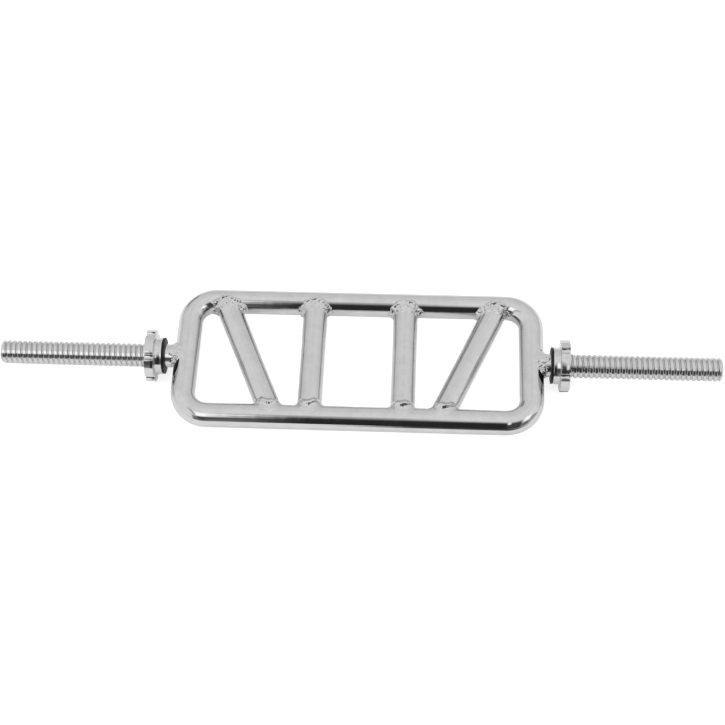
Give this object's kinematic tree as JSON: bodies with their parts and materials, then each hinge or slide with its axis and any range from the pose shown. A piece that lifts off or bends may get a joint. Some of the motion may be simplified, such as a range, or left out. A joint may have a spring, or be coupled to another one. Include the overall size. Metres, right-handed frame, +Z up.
{
  "type": "triceps bar",
  "caption": "Flat loop of bent chromed tube with square and leaning grips inside and a threaded sleeve with a screw-on star collar at each end.",
  "frame": {"origin": "centre of the bounding box: the middle of the bar, on the common axis of the two sleeves", "axes": "+X along the sleeves, to the right; +Y from the near rail to the far rail; +Z up, square to the flat frame"},
  "size_m": [0.864, 0.1892, 0.0622],
  "materials": {
    "frame_chrome": "polished chrome plate on bent steel tube",
    "handle_chrome": "polished chrome plate on straight steel tube",
    "weld_chrome": "chrome plate over a rippled weld",
    "sleeve_chrome": "chrome plate on a threaded steel bar",
    "collar_chrome": "polished chrome plate on cast steel",
    "ring_rubber": "matt black moulded rubber"
  },
  "bodies": {
    "bar": {"frame_loop": "frame_chrome", "handle_left_outer": "handle_chrome", "handle_left_inner": "handle_chrome", "handle_right_inner": "handle_chrome", "handle_right_outer": "handle_chrome", "weld_left_outer_near": "weld_chrome", "weld_left_outer_far": "weld_chrome", "weld_left_inner_near": "weld_chrome", "weld_left_inner_far": "weld_chrome", "weld_right_inner_near": "weld_chrome", "weld_right_inner_far": "weld_chrome", "weld_right_outer_near": "weld_chrome", "weld_right_outer_far": "weld_chrome", "weld_sleeve_left": "weld_chrome", "weld_sleeve_right": "weld_chrome", "sleeve_left": "sleeve_chrome", "sleeve_right": "sleeve_chrome"},
    "left_ring": {"rubber_ring_left": "ring_rubber"},
    "left_collar": {"star_collar_left": "collar_chrome"},
    "right_ring": {"rubber_ring_right": "ring_rubber"},
    "right_collar": {"star_collar_right": "collar_chrome"}
  },
  "joints": [
    {"name": "left_ring_slide", "type": "slide", "parent": "bar", "child": "left_ring", "axis": [-1, 0, 0], "range_m": [-0.00286, 0.18129]},
    {"name": "left_collar_screw", "type": "hinge", "parent": "left_ring", "child": "left_collar", "pos_m": [-0.244, 0, 0], "axis": [-1, 0, 0], "range_deg": [-162, 10278]},
    {"name": "right_ring_slide", "type": "slide", "parent": "bar", "child": "right_ring", "axis": [1, 0, 0], "range_m": [0, 0.18415]},
    {"name": "right_collar_screw", "type": "hinge", "parent": "right_ring", "child": "right_collar", "pos_m": [0.244, 0, 0], "axis": [1, 0, 0], "range_deg": [0, 10440]}
  ],
  "couplings": [
    {"joint": "left_ring_slide", "follows": "left_collar_screw", "m_per_rad": 0.0010106},
    {"joint": "right_ring_slide", "follows": "right_collar_screw", "m_per_rad": 0.0010106}
  ]
}
